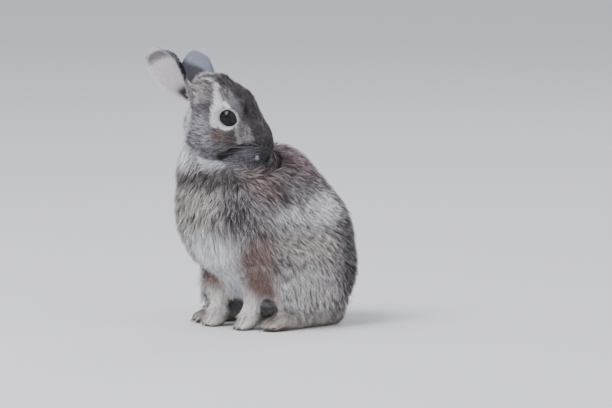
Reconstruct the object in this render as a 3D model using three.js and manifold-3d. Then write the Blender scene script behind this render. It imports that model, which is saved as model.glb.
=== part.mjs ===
// Eastern cottontail rabbit, sitting upright and looking back over its left shoulder.
// Millimetres, +Z up, the rabbit faces -Y and its own left side is +X. The solids give the
// outline out to the tips of the coat. The body is one smooth field of fat, muscle and fur,
// wrapped part by part and divided by thin cuts.
import * as THREE from "three";
import { mergeVertices } from "three/addons/utils/BufferGeometryUtils.js";
import Module from "manifold-3d";

const wasm = await Module();
wasm.setup();

// ---------------------------------------------------------------- driving dimensions
const GAP = 0.3; // clearance between neighbouring parts
const FLOOR = 0; // every foot and the rump rest on this level

const HEAD_AT = new THREE.Vector3(7.8, -61.4, 174.5); // midpoint between the eyes
const HEAD_YAW = 131; // degrees that the face is turned to the rabbit's left
const HEAD_PITCH = 33; // degrees that the nose points down
const HEAD_ROLL = -13; // degrees that the crown leans to the rabbit's own right
const EYE_RADIUS = 7.6;
const EYE_SPREAD = 14.6; // eye centre from the middle of the head
const EAR_LENGTH = 53; // of which the first few millimetres are inside the head
const EAR_HALF_WIDTH = 17; // measured round the curl
const EAR_THICKNESS = 1.5;

const FOREFOOT_SPREAD = 19;
const WRIST_HEIGHT = 14;
const HINDFOOT_SPREAD = 41;
const HINDFOOT_LENGTH = 90;
const HINDFOOT_TOE_Y = -60;

const { cos, sin, PI, hypot, max, min, abs } = Math;
const rad = THREE.MathUtils.degToRad;
const vec = (x, y, z) => new THREE.Vector3(x, y, z);

// ---------------------------------------------------------------- the field
// A form is a function of a point that gives about how far the point lies outside it.
function ellipsoid(centre, radii, turn = [0, 0, 0]) {
  const inverse = new THREE.Matrix4()
    .compose(
      vec(...centre),
      new THREE.Quaternion().setFromEuler(new THREE.Euler(...turn.map(rad), "ZXY")),
      vec(1, 1, 1),
    )
    .invert();
  const q = vec();
  return (p) => {
    q.copy(p).applyMatrix4(inverse);
    const near = hypot(q.x / radii[0], q.y / radii[1], q.z / radii[2]);
    const slope = hypot(q.x / radii[0] ** 2, q.y / radii[1] ** 2, q.z / radii[2] ** 2);
    return slope < 1e-6 ? -min(...radii) : (near * (near - 1)) / slope;
  };
}

// A limb is a rod with round ends whose radius changes evenly from one end to the other.
function limb(from, to, radiusFrom, radiusTo) {
  const a = vec(...from);
  const along = vec(...to).sub(a);
  const q = vec();
  return (p) => {
    q.copy(p).sub(a);
    const share = min(1, max(0, q.dot(along) / along.lengthSq()));
    return q.addScaledVector(along, -share).length() - radiusFrom - share * (radiusTo - radiusFrom);
  };
}

const pair = (make) => [make(1), make(-1)]; // left side, then right side

// Joins forms with a soft fillet of about the given size.
function soften(fillet, ...forms) {
  return (p) =>
    forms
      .map((form) => form(p))
      .reduce((a, b) => {
        const overlap = max(0, fillet - abs(a - b)) / fillet;
        return min(a, b) - (overlap * overlap * fillet) / 4;
      });
}

// Presses a dish into a form, with a rim softened by about the given size.
function pressed(form, dish, fillet) {
  return (p) => {
    const a = form(p);
    const b = -dish(p);
    const overlap = max(0, fillet - abs(a - b)) / fillet;
    return max(a, b) + (overlap * overlap * fillet) / 4;
  };
}

// The same form, drawn in all round by a small depth so that it stays under its neighbour.
const shrunk = (form, depth) => (p) => form(p) + depth;

// The same form set in a turned and moved frame.
function placed(form, matrix) {
  const inverse = matrix.clone().invert();
  const q = vec();
  return (p) => form(q.copy(p).applyMatrix4(inverse));
}

// ---------------------------------------------------------------- solids
function toSolid(geometry) {
  const bare = new THREE.BufferGeometry().setAttribute("position", geometry.getAttribute("position"));
  if (geometry.index) bare.setIndex(geometry.index);
  const merged = mergeVertices(bare, 1e-4);
  return new wasm.Manifold(
    new wasm.Mesh({
      numProp: 3,
      vertProperties: new Float32Array(merged.attributes.position.array),
      triVerts: new Uint32Array(merged.index.array),
    }),
  );
}

function toGeometry(solid) {
  const made = solid.getMesh();
  const geometry = new THREE.BufferGeometry();
  const positions = new Float32Array(made.numVert * 3);
  for (let i = 0; i < made.numVert; i++) {
    positions.set(made.vertProperties.subarray(i * made.numProp, i * made.numProp + 3), i * 3);
  }
  geometry.setAttribute("position", new THREE.BufferAttribute(positions, 3));
  geometry.setIndex(new THREE.BufferAttribute(made.triVerts, 1));
  geometry.computeVertexNormals();
  return geometry;
}

// The distance from a point inside the form, along a direction, to where the form ends.
function reach(form, from, direction, limit, offset) {
  const p = vec();
  let far = 0;
  for (let step = 0; step < 200; step++) {
    const inside = offset - form(p.copy(from).addScaledVector(direction, far));
    if (inside < 0.004) break;
    far += max(0.02, inside * 0.8);
    if (far > limit) return limit;
  }
  return far;
}

// Wraps a form by rays that leave a spine: rings along it, and a rounded cap at each end.
function wrap(form, { spine, rings, sides, caps = 5, up = vec(0, 0, 1), limit = 80, offset = 0 }) {
  const curve = new THREE.CatmullRomCurve3(spine.map((p) => vec(...p)), false, "centripetal");
  const stations = [];
  for (let i = 1; i < caps; i++) stations.push([0, -90 + (90 * i) / caps]);
  for (let i = 0; i <= rings; i++) stations.push([i / rings, 0]);
  for (let i = 1; i < caps; i++) stations.push([1, (90 * i) / caps]);

  const points = [];
  const shoot = (share, tilt, angle) => {
    const at = curve.getPointAt(share);
    const forward = curve.getTangentAt(share);
    const side = up.clone().cross(forward).normalize();
    const over = forward.clone().cross(side);
    const direction = over
      .multiplyScalar(cos(angle) * cos(tilt))
      .addScaledVector(side, sin(angle) * cos(tilt))
      .addScaledVector(forward, sin(tilt));
    points.push(at.addScaledVector(direction, reach(form, at, direction, limit, offset)));
  };
  shoot(0, -PI / 2, 0);
  for (const [share, tilt] of stations) {
    for (let j = 0; j < sides; j++) shoot(share, rad(tilt), (2 * PI * j) / sides);
  }
  shoot(1, PI / 2, 0);

  const last = points.length - 1;
  const index = [];
  const at = (ring, side) => 1 + ring * sides + (side % sides);
  for (let j = 0; j < sides; j++) {
    index.push(0, at(0, j), at(0, j + 1));
    index.push(last, at(stations.length - 1, j + 1), at(stations.length - 1, j));
    for (let i = 0; i + 1 < stations.length; i++) {
      const [a, b, c, d] = [at(i, j), at(i + 1, j), at(i + 1, j + 1), at(i, j + 1)];
      // the shorter diagonal follows the folds
      if (points[a].distanceTo(points[c]) < points[b].distanceTo(points[d])) index.push(a, c, d, a, b, c);
      else index.push(a, b, d, b, c, d);
    }
  }
  const geometry = new THREE.BufferGeometry().setFromPoints(points);
  geometry.setIndex(index);
  return geometry;
}

// A large block whose face passes through a point; the block lies on the side of the direction.
function halfSpace(point, direction, size = 400) {
  const block = new THREE.BoxGeometry(size, size, size).translate(0, 0, size / 2);
  block.applyQuaternion(
    new THREE.Quaternion().setFromUnitVectors(vec(0, 0, 1), direction.clone().normalize()),
  );
  return toSolid(block.translate(point.x, point.y, point.z));
}

function ball(centre, radii, grow = 0) {
  const geometry = new THREE.SphereGeometry(1, 14, 9);
  geometry.scale(...radii.map((r) => r + grow)).translate(...centre);
  return toSolid(geometry);
}

// Booleans can leave a crumb at a seam: the piece is its largest body.
const largest = (solid) => solid.decompose().reduce((a, b) => (a.volume() > b.volume() ? a : b));

// ---------------------------------------------------------------- head, in its own frame
// Origin between the eyes, the nose towards -Y, the crown towards +Z, its left side +X.
const headFrame = new THREE.Matrix4().compose(
  HEAD_AT,
  new THREE.Quaternion().setFromEuler(
    new THREE.Euler(rad(HEAD_PITCH), rad(HEAD_ROLL), rad(HEAD_YAW), "ZXY"),
  ),
  vec(1, 1, 1),
);
const inHead = (x, y, z) => vec(x, y, z).applyMatrix4(headFrame);

const cranium = soften(
  8,
  ellipsoid([0, 11.5, -1], [20.5, 25, 19.5], [-8, 0, 0]),
  limb([0, -2, 4], [0, -31, -6], 13.5, 8.3), // forehead and bridge of the nose
  ...pair((s) => limb([s * 6, -8, -9.5], [s * 4.7, -32, -14], 10.5, 8)), // sides of the muzzle
);
const jaw = soften(
  9,
  limb([0, -4, -26], [0, -29, -25.5], 13, 7.5),
  ...pair((s) => ellipsoid([s * 15, 4, -19.5], [12.5, 19, 22.5], [-6, 0, s * 6])), // cheek
  ellipsoid([0, 11, -24], [21, 17.5, 20]), // fluff of the throat
);
const snout = soften(
  2.5,
  ellipsoid([0, -35.5, -12.5], [8, 7.5, 8.6]),
  ...pair((s) => ellipsoid([s * 6.4, -34.5, -17.5], [7.2, 8.2, 8])), // whisker pad
  ellipsoid([0, -41, -12], [4.6, 2.8, 3.7]), // nose
  ellipsoid([0, -32.5, -27.5], [7, 7, 6.2]), // chin
);
const brows = soften(3, ...pair((s) => ellipsoid([s * 14.5, -1, 9.5], [5.2, 9, 4.6], [0, s * 20, 0])));
const earMounds = soften(
  8,
  ...pair((s) => ellipsoid([s * 13, 32.5, 0], [8, 8.5, 8.5])),
  ellipsoid([2, 25, 9.5], [15, 12, 11.5]), // fur between the ears
);
const sockets = soften(2, ...pair((s) => ellipsoid([s * 26.5, 0.5, 0.5], [9.5, 10, 8.8])));
const headForm = pressed(soften(5, soften(9, cranium, jaw), snout, brows, earMounds), sockets, 4);

// ---------------------------------------------------------------- body
const torso = soften(
  16,
  ellipsoid([0, 15, 66], [45, 46, 50], [-20, 0, 0]), // rump
  ellipsoid([0, -14, 98], [38, 48, 50]), // loin and back
  ellipsoid([0, -44, 93], [35, 43, 36]), // rib cage
  ellipsoid([0, -66, 93], [45, 39, 38]), // fur of the chest
  ellipsoid([0, -60, 78], [42, 39, 36]), // brisket
  ellipsoid([0, -20, 46], [34, 36, 32]), // belly
);
const haunches = soften(4, ...pair((s) => ellipsoid([s * 39, 0, 44], [19, 43, 39], [8, 0, 0])));
// The right knee is carried a little further forward and out than the left one.
const knees = soften(4, ellipsoid([40, -28, 36], [15, 20, 27]), ellipsoid([-43, -35, 35], [14, 19, 27]));
const shoulders = soften(4, ...pair((s) => ellipsoid([s * 29, -48, 94], [17, 25, 33])));
const forearm = (s) =>
  soften(
    5,
    limb([s * 27, -46, 80], [s * 24, -47, 52], 17, 11.5),
    limb([s * 24, -47, 52], [s * FOREFOOT_SPREAD, -53, 16], 10.5, 7.6),
  );
const neckForm = soften(
  10,
  limb([-5, -44, 118], [-19, -66, 166], 32, 17),
  ellipsoid([-21, -63, 131], [27.5, 26.5, 30]), // ruff
);
const UNDER = 1.6;
const hindlegs = soften(8, haunches, knees);
const trunkForm = soften(
  8,
  soften(18, torso, shoulders, shrunk(hindlegs, UNDER), neckForm),
  placed(shrunk(cranium, UNDER), headFrame),
);
const hindlegForm = soften(12, shrunk(torso, UNDER), hindlegs);
const forelegForm = (s) => soften(10, shrunk(soften(12, torso, shoulders), UNDER), forearm(s));
const headAndNeck = soften(12, placed(neckForm, headFrame.clone().invert()), headForm);

const tailForm = soften(
  5,
  ellipsoid([0, 46, 34], [17, 13, 19], [24, 0, 0]),
  ellipsoid([0, 50, 25], [13, 11, 13]),
);

// ---------------------------------------------------------------- feet
// Four toes fan out from the ball of the foot; the outer two are shorter.
const toesOf = ({ ball: [x, y, z], reach: length, spread, toe }) =>
  [-1, -1 / 3, 1 / 3, 1].map((place) => ({
    root: [x + place * spread * 0.7, y + 4, z],
    tip: [x + place * spread, y - length + (abs(place) > 0.5 ? 2.5 : 0), toe - 0.5],
    radius: toe,
  }));
const footForm = (foot) =>
  soften(
    1.6,
    limb(foot.heel, foot.ball, foot.heelRadius, foot.ballRadius),
    ...toesOf(foot).map(({ root, tip, radius }) => limb(root, tip, radius + 0.8, radius)),
  );
const hindfoot = (s) => ({
  heel: [s * (HINDFOOT_SPREAD - 4), HINDFOOT_TOE_Y + HINDFOOT_LENGTH - 10, 9],
  heelRadius: 9.6,
  ball: [s * HINDFOOT_SPREAD, HINDFOOT_TOE_Y + 23, 7.5],
  ballRadius: 9.2,
  reach: 18.5,
  spread: 7.2,
  toe: 4.5,
});
const forefoot = (s) => ({
  heel: [s * FOREFOOT_SPREAD, -54, 8],
  heelRadius: 7.8,
  ball: [s * FOREFOOT_SPREAD, -58.5, 6.6],
  ballRadius: 7.2,
  reach: 7,
  spread: 5.8,
  toe: 3.8,
});
const forefootForm = (s) =>
  soften(
    3,
    limb([s * FOREFOOT_SPREAD, -53, 20], [s * FOREFOOT_SPREAD, -55, 9], 7.9, 7.6),
    footForm(forefoot(s)),
  );

// Each claw is a small cone that leaves the fur of its toe.
function claws(foot, length) {
  return toesOf(foot).map(({ tip: [x, y, z], radius }) => {
    const cone = new THREE.CylinderGeometry(0.4, 1.2, length, 5).rotateX(PI / 2 + 0.25);
    return toSolid(cone.rotateZ(PI).translate(x, y - radius - length * 0.2, z - 0.6));
  });
}

// ---------------------------------------------------------------- wraps
const aboveLevel = (level) => halfSpace(vec(0, 0, level), vec(0, 0, 1));
const belowLevel = (level) => halfSpace(vec(0, 0, level), vec(0, 0, -1));

function headWrap(offset, rings = 19, sides = 22) {
  const geometry = wrap(headAndNeck, {
    spine: [
      [0, -34, -11],
      [0, -16, -7],
      [0, 8, -5],
      [0, 25, -8],
    ],
    rings,
    sides,
    caps: 4,
    limit: 48,
    offset,
  });
  return toSolid(geometry.applyMatrix4(headFrame));
}

const trunkWrap = toSolid(
  wrap(trunkForm, {
    spine: [
      [0, 22, 56],
      [0, 2, 82],
      [0, -34, 104],
      [-1, -57, 122],
      [-7, -63, 142],
      [-11, -67, 158],
    ],
    rings: 14,
    sides: 20,
    caps: 4,
    up: vec(0, 0.7, 0.7),
    limit: 90,
  }),
);
const forelegWrap = (s) =>
  toSolid(
    wrap(forelegForm(s), {
      spine: [
        [s * 26, -46, 62],
        [s * 24, -47, 48],
        [s * FOREFOOT_SPREAD, -53, 16],
      ],
      rings: 6,
      sides: 10,
      caps: 3,
      up: vec(0, -1, 0),
      limit: 20,
    }),
  );
const hindlegWrap = (s) =>
  toSolid(
    wrap(hindlegForm, {
      spine: [
        [s * 33, 22, 42],
        [s * 36, 0, 46],
        [s * 39, -26, 38],
      ],
      rings: 7,
      sides: 15,
      caps: 3,
      limit: 34,
    }),
  );
const footWrap = (form, spine, rings, offset) =>
  toSolid(wrap(form, { spine, rings, sides: 11, caps: 3, limit: 30, offset }));
const hindfootWrap = (s, offset) =>
  footWrap(
    footForm(hindfoot(s)),
    [
      [s * (HINDFOOT_SPREAD - 4), HINDFOOT_TOE_Y + HINDFOOT_LENGTH - 12, 8],
      [s * HINDFOOT_SPREAD, HINDFOOT_TOE_Y + 13, 5],
    ],
    9,
    offset,
  );
const forefootWrap = (s) =>
  footWrap(forefootForm(s), [[s * FOREFOOT_SPREAD, -54, 9], [s * FOREFOOT_SPREAD, -62, 5]], 4, 0);
const tailWrap = (offset) =>
  toSolid(wrap(tailForm, { spine: [[0, 43, 33], [0, 50, 25]], rings: 2, sides: 12, caps: 3, offset }));

// ---------------------------------------------------------------- ears
// A leaf of skin, rolled into a tube at its root and cupped towards its opening.
const earOutline = [0.52, 0.68, 0.85, 0.95, 1, 1, 0.98, 0.93, 0.83, 0.65, 0.32];
const earCurl = [150, 136, 120, 108, 98, 90, 84, 76, 68, 60, 52];

// The tip may be flatter than the rest, and may lean to the side of the leaf's edge.
function ear(root, axis, opening, backwardBend, tipFlattening, tipLean) {
  const up = vec(...axis).normalize();
  const out = vec(...opening).addScaledVector(up, -vec(...opening).dot(up)).normalize();
  const side = up.clone().cross(out);
  const rows = earOutline.length;
  const columns = 7;
  const layer = (inner) =>
    earOutline.flatMap((share, row) => {
      const t = row < rows - 1 ? row / (rows - 1.35) : 1;
      const curl = rad(earCurl[row]) * (1 - tipFlattening * t * t);
      const radius = (share * EAR_HALF_WIDTH) / curl;
      const middle = vec(...root)
        .addScaledVector(up, EAR_LENGTH * min(t, 1))
        .addScaledVector(out, -backwardBend * t * t)
        .addScaledVector(side, tipLean * t * t * t);
      return Array.from({ length: columns }, (_, column) => {
        const across = (2 * column) / (columns - 1) - 1;
        const reachOut = radius + (inner ? -0.5 : 0.5) * EAR_THICKNESS * (1 - 0.25 * across * across);
        return middle
          .clone()
          .addScaledVector(out, radius - reachOut * cos(across * curl))
          .addScaledVector(side, reachOut * sin(across * curl));
      });
    });
  const points = [...layer(false), ...layer(true)];
  const at = (inner, row, column) => inner * rows * columns + row * columns + column;
  const index = [];
  const quad = (a, b, c, d) => index.push(a, c, b, a, d, c);
  for (let i = 0; i + 1 < rows; i++) {
    for (let j = 0; j + 1 < columns; j++) {
      quad(at(0, i, j), at(0, i, j + 1), at(0, i + 1, j + 1), at(0, i + 1, j));
      quad(at(1, i, j), at(1, i + 1, j), at(1, i + 1, j + 1), at(1, i, j + 1));
    }
    quad(at(0, i, 0), at(0, i + 1, 0), at(1, i + 1, 0), at(1, i, 0));
    quad(at(0, i, columns - 1), at(1, i, columns - 1), at(1, i + 1, columns - 1), at(0, i + 1, columns - 1));
  }
  for (let j = 0; j + 1 < columns; j++) {
    quad(at(0, 0, j), at(1, 0, j), at(1, 0, j + 1), at(0, 0, j + 1));
    quad(at(0, rows - 1, j), at(0, rows - 1, j + 1), at(1, rows - 1, j + 1), at(1, rows - 1, j));
  }
  const geometry = new THREE.BufferGeometry().setFromPoints(points);
  geometry.setIndex(index);
  return toSolid(geometry.applyMatrix4(headFrame));
}

// ---------------------------------------------------------------- details of the face
const eyeball = (s, grow, detail) =>
  toSolid(
    new THREE.SphereGeometry(EYE_RADIUS + grow, ...detail)
      .translate(s * EYE_SPREAD, 0, 0)
      .applyMatrix4(headFrame),
  );
const lids = (s) =>
  toSolid(
    new THREE.TorusGeometry(7.5, 1.5, 5, 16)
      .scale(1.06, 0.94, 1)
      .rotateY((s * PI) / 2)
      .rotateX(0.1)
      .rotateZ(-s * 0.12)
      .translate(s * (EYE_SPREAD + 3.2), -0.2, 0.3)
      .applyMatrix4(headFrame),
  );
function groove(from, to, radius) {
  const a = vec(...from);
  const b = vec(...to);
  const rod = new THREE.CapsuleGeometry(radius, a.distanceTo(b), 2, 6);
  rod.applyQuaternion(
    new THREE.Quaternion().setFromUnitVectors(vec(0, 1, 0), b.clone().sub(a).normalize()),
  );
  const middle = a.add(b).multiplyScalar(0.5);
  return toSolid(rod.translate(middle.x, middle.y, middle.z).applyMatrix4(headFrame));
}
const grooves = [
  groove([0, -43.8, -14], [0, -41.8, -20.5], 0.8), // cleft of the upper lip
  ...pair((s) => groove([s * 0.4, -41.8, -20.6], [s * 7.5, -33, -23.6], 0.9)), // mouth
  ...pair((s) => groove([s * 1.6, -43.8, -12], [s * 4, -41.5, -10.2], 0.7)), // nostril
];

// ---------------------------------------------------------------- dividing the animal
const headUp = inHead(0, -0.28, 0.96).sub(inHead(0, 0, 0)).normalize();
const headSeam = inHead(0, 5, -42);
const aboveSeam = (shift) => halfSpace(headSeam.clone().addScaledVector(headUp, shift), headUp);
const orb = (centre, radii) =>
  toSolid(new THREE.SphereGeometry(1, 14, 9).scale(...radii).translate(...centre).applyMatrix4(headFrame));
const headLimit = (grow) => orb([0, -6, -12], [44 + grow, 50 + grow, 40 + grow]);
const headRoom = headWrap(3, 11, 16)
  .add(headWrap(GAP))
  .add(orb([0, 16, -8], [30, 33, 37]))
  .intersect(aboveSeam(-GAP))
  .intersect(headLimit(GAP));

const COLLAR = vec(0, -60, 136);
const COLLAR_TILT = vec(0, -0.55, 0.83).normalize();
const limbWraps = [...pair(forelegWrap), ...pair(hindlegWrap)];
const wholeBody = limbWraps.reduce((body, limbWrap) => body.add(limbWrap), trunkWrap).subtract(headRoom);
const neck = wholeBody.intersect(halfSpace(COLLAR, COLLAR_TILT));
let trunk = wholeBody.intersect(
  halfSpace(COLLAR.clone().addScaledVector(COLLAR_TILT, -GAP), COLLAR_TILT.clone().negate()),
);
trunk = trunk.intersect(aboveLevel(FLOOR + 3)).subtract(tailWrap(GAP));

const fur = new THREE.MeshStandardMaterial({ name: "fur", color: 0x8a7f76, roughness: 0.9 });
const paleFur = new THREE.MeshStandardMaterial({ name: "pale_fur", color: 0xd8d3cc, roughness: 0.9 });
const earSkin = new THREE.MeshStandardMaterial({ name: "ear_skin", color: 0xb9a49b, roughness: 0.8 });
const cornea = new THREE.MeshStandardMaterial({ name: "cornea", color: 0x120d0b, roughness: 0.1 });

const rabbit = new THREE.Group();
function add(name, solid, finish) {
  const mesh = new THREE.Mesh(toGeometry(largest(solid)), finish);
  mesh.name = name;
  rabbit.add(mesh);
}

let head = headWrap(0).intersect(aboveSeam(0)).intersect(headLimit(0));
const earRoots = {
  left: ear([12.1, 35.13, 5.5], [0.89, 0.44, -0.09], [0.25, -0.6, -0.76], 0, 0, 0),
  right: ear([-12.42, 34.25, -2.89], [-0.36, 0.81, 0.47], [-0.89, -0.15, -0.43], 2, 0.4, -3.2),
};
const headFilled = headWrap(GAP);
for (const [side, s] of [["left", 1], ["right", -1]]) {
  head = head.add(lids(s)).subtract(eyeball(s, GAP, [12, 8]));
  add("eye_" + side, eyeball(s, 0, [12, 8]), cornea);
  add("ear_" + side, earRoots[side].subtract(headFilled), earSkin);

  const legRoom = (grow) => ball([s * 25, -50, 26], [15, 19, 44], grow);
  const thighRoom = (grow) => ball([s * 60, -2, 34], [36, 48, 46], grow);
  const footRoom = hindfootWrap(s, GAP);
  const sole = aboveLevel(FLOOR);
  const foreleg = trunk.intersect(legRoom(0)).intersect(aboveLevel(WRIST_HEIGHT));
  add("foreleg_" + side, foreleg.subtract(footRoom), fur);
  trunk = trunk.subtract(legRoom(GAP));
  const paw = forefootWrap(s).intersect(sole).intersect(belowLevel(WRIST_HEIGHT - GAP));
  add("forefoot_" + side, paw.add(wasm.Manifold.union(claws(forefoot(s), 4))), paleFur);
  add("thigh_" + side, trunk.intersect(thighRoom(0)).subtract(footRoom), fur);
  trunk = trunk.subtract(thighRoom(GAP)).subtract(footRoom);
  const hind = hindfootWrap(s, 0).intersect(sole);
  add("hindfoot_" + side, hind.add(wasm.Manifold.union(claws(hindfoot(s), 6))), paleFur);
}
for (const cut of grooves) head = head.subtract(cut);
add("head", head, fur);
add("neck", neck, fur);
add("trunk", trunk, fur);
add("tail", tailWrap(0), paleFur);

// The origin lies on the floor under the middle of the animal's box.
const span = new THREE.Box3().setFromObject(rabbit, true);
rabbit.position.set(-(span.min.x + span.max.x) / 2, -(span.min.y + span.max.y) / 2, -FLOOR);

export default rabbit;
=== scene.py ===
# A cottontail rabbit in winter coat, sitting up and looking back over its left shoulder.
# One skin is made from the frame's flesh and lies under a coat of tufts; eyes, whiskers and
# claws are pieces of their own.
from math import cos, pi, radians, sin

import bpy
import numpy as np
from mathutils import Euler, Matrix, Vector
from mathutils.bvhtree import BVHTree
from mathutils.kdtree import KDTree


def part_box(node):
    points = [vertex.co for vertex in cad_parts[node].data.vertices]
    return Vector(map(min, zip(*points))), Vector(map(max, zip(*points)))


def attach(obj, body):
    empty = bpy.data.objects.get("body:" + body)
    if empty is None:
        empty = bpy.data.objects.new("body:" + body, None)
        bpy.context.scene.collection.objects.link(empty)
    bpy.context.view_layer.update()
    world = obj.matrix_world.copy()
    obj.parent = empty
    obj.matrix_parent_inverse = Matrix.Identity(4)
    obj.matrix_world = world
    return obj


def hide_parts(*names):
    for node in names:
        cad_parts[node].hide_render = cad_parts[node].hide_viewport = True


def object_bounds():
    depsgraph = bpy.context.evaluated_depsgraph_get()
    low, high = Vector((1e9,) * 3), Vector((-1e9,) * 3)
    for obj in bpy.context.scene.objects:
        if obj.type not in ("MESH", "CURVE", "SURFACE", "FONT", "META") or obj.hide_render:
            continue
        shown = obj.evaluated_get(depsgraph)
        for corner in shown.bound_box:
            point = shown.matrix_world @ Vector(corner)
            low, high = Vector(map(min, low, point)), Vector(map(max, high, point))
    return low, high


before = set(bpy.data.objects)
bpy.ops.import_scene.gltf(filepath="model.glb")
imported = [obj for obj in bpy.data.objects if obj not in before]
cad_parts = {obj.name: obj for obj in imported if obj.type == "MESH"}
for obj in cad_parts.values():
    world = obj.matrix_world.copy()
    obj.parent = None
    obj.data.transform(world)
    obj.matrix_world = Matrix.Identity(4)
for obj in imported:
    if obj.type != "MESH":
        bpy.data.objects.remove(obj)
cad_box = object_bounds()

# ---- camera and studio
# A long lens stands off the animal's front left side, over a plain pale floor. The light is
# large and soft from the left, weaker from the right and behind, under an even sky.
AZIMUTH, ELEVATION = radians(48), radians(6)
CAMERA_DISTANCE = 8.16
CENTRE_FROM_EYES = Vector((0.0354, 0.0459, -0.0745))
FLOOR_SIZE = 8
eye_boxes = [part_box("eye_left"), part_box("eye_right")]
between_eyes = np.array(eye_boxes).mean(axis=(0, 1)) * 1000
centre = Vector(between_eyes * 0.001) + CENTRE_FROM_EYES
across = Vector((cos(AZIMUTH), sin(AZIMUTH), 0))
backwards = Vector(
    (sin(AZIMUTH) * cos(ELEVATION), -cos(AZIMUTH) * cos(ELEVATION), sin(ELEVATION))
)
upwards = backwards.cross(across)


def into_scene(name, data):
    """Adds an object for the given mesh, light or camera."""
    added = bpy.data.objects.new(name, data)
    bpy.context.scene.collection.objects.link(added)
    return added


long_lens = bpy.data.cameras.new("camera")
long_lens.lens = 600
long_lens.sensor_width = 36
long_lens.clip_end = 50
camera = into_scene("camera", long_lens)
camera.location = centre + backwards * CAMERA_DISTANCE
camera.rotation_euler = backwards.to_track_quat("Z", "Y").to_euler()
bpy.context.scene.camera = camera

# Each light is a round panel that faces the animal, so far to the right, up and to the front.
for name, (right, up, front), size, power, colour in (
    ("key", (-1.1, 1.7, 0.9), 1.5, 56, (0.96, 0.965, 1)),
    ("fill", (1.6, 0.7, 1.2), 3, 20, (0.93, 0.95, 1)),
    ("rim", (0.5, 1.4, -1.5), 0.9, 7, (0.95, 0.96, 1)),
):
    stand = across * right + upwards * up + backwards * front
    panel = bpy.data.lights.new(name, "AREA")
    panel.shape = "DISK"
    panel.size = size
    panel.energy = power
    panel.color = colour
    lamp = into_scene(name, panel)
    lamp.location = centre + stand
    lamp.rotation_euler = stand.to_track_quat("Z", "Y").to_euler()

sky = bpy.data.worlds.new("sky")
sky.use_nodes = True
sky_light = sky.node_tree.nodes["Background"].inputs
sky_light["Color"].default_value = (0.8, 0.83, 0.93, 1)
sky_light["Strength"].default_value = 0.88
bpy.context.scene.world = sky


class Finish:
    """A material in the making: its nodes, and the shader they end in."""

    def __init__(self, name, **constants):
        self.material = bpy.data.materials.new(name)
        self.material.use_nodes = True
        self.tree = self.material.node_tree
        self.shader = self.tree.nodes["Principled BSDF"]
        for socket, value in constants.items():
            self.shader.inputs[socket.replace("_", " ")].default_value = value

    def node(self, kind, settings=None, output=0, **values):
        """Adds a node and gives its output. An input named _0 is the first."""
        made = self.tree.nodes.new("ShaderNode" + kind)
        for setting, value in (settings or {}).items():
            setattr(made, setting, value)
        for socket, value in values.items():
            key = int(socket[1:]) if socket[1:].isdigit() else socket.replace("_", " ")
            if isinstance(value, bpy.types.NodeSocket):
                self.tree.links.new(value, made.inputs[key])
            else:
                made.inputs[key].default_value = value
        return made.outputs[output]

    def feed(self, socket, value):
        self.tree.links.new(value, self.shader.inputs[socket])

    def on(self, piece):
        piece.data.materials.clear()
        piece.data.materials.append(self.material)


bpy.ops.mesh.primitive_plane_add(size=FLOOR_SIZE, location=(0, 0, 0))
floor = bpy.context.object
floor.name = "floor"
paper = Finish("floor_paper", Base_Color=(0.74, 0.73, 0.72, 1), Roughness=0.9)
paper.on(floor)

# ---- the animal's two frames
# Lengths are in millimetres from here on. The body faces -Y. The head has its own frame, with
# its origin midway between the eyes, the nose towards -Y and the crown towards +Z.
EYES_IN_BODY = (7.8, -61.4, 174.5)
HEAD_PITCH, HEAD_ROLL, HEAD_YAW = radians(33), radians(-13), radians(131)
home = between_eyes - EYES_IN_BODY
head_turn = np.array(Euler((HEAD_PITCH, HEAD_ROLL, HEAD_YAW), "YXZ").to_matrix())


def in_body(points):
    return points - home


def in_head(points):
    return (points - between_eyes) @ head_turn


def from_head(points):
    return points @ head_turn.T + between_eyes


def both_sides(points):
    """The points, with the right side laid over to the left."""
    return np.column_stack([np.abs(points[:, 0]), points[:, 1:]])


def lengths(vectors):
    return np.linalg.norm(vectors, axis=1)


def ease(low, high, value):
    """Rises softly from 0 at the low value to 1 at the high one."""
    share = np.clip((value - low) / (high - low), 0, 1)
    return share * share * (3 - 2 * share)


def fade(low, high, value):
    """Falls softly from 1 at the low value to 0 at the high one."""
    return 1 - ease(low, high, value)


def near_ball(points, radii, soft):
    """One inside an ellipsoid round the origin and nothing outside it, with a soft edge."""
    return fade(1 - soft, 1 + soft, lengths(points / np.array(radii, float)))


def near_stroke(points, start, end, start_radius, end_radius, soft):
    """One round the line from start to end and nothing further off, with a soft edge."""
    start = np.array(start, float)
    way = np.array(end, float) - start
    share = np.clip((points - start) @ way / max(way @ way, 1e-9), 0, 1)
    gap = lengths(points - start - share[:, None] * way)
    radius = start_radius + (end_radius - start_radius) * share
    return fade(1 - soft, 1 + soft, gap / radius)


def unit(vectors):
    return vectors / np.maximum(lengths(vectors), 1e-9)[:, None]


def doubled_areas(corners):
    """Twice the area of each triangle, from its three corners."""
    one, two, three = corners.transpose(1, 0, 2)
    return lengths(np.cross(two - one, three - one))


def laid_flat(vectors, normals):
    """The vectors without what they have along the normals."""
    return vectors - normals * np.sum(vectors * normals, axis=1)[:, None]


def lean(first, second, share):
    """Moves each row of the first towards the second by its share."""
    return first + (np.asarray(second) - first) * np.asarray(share)[:, None]


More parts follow.
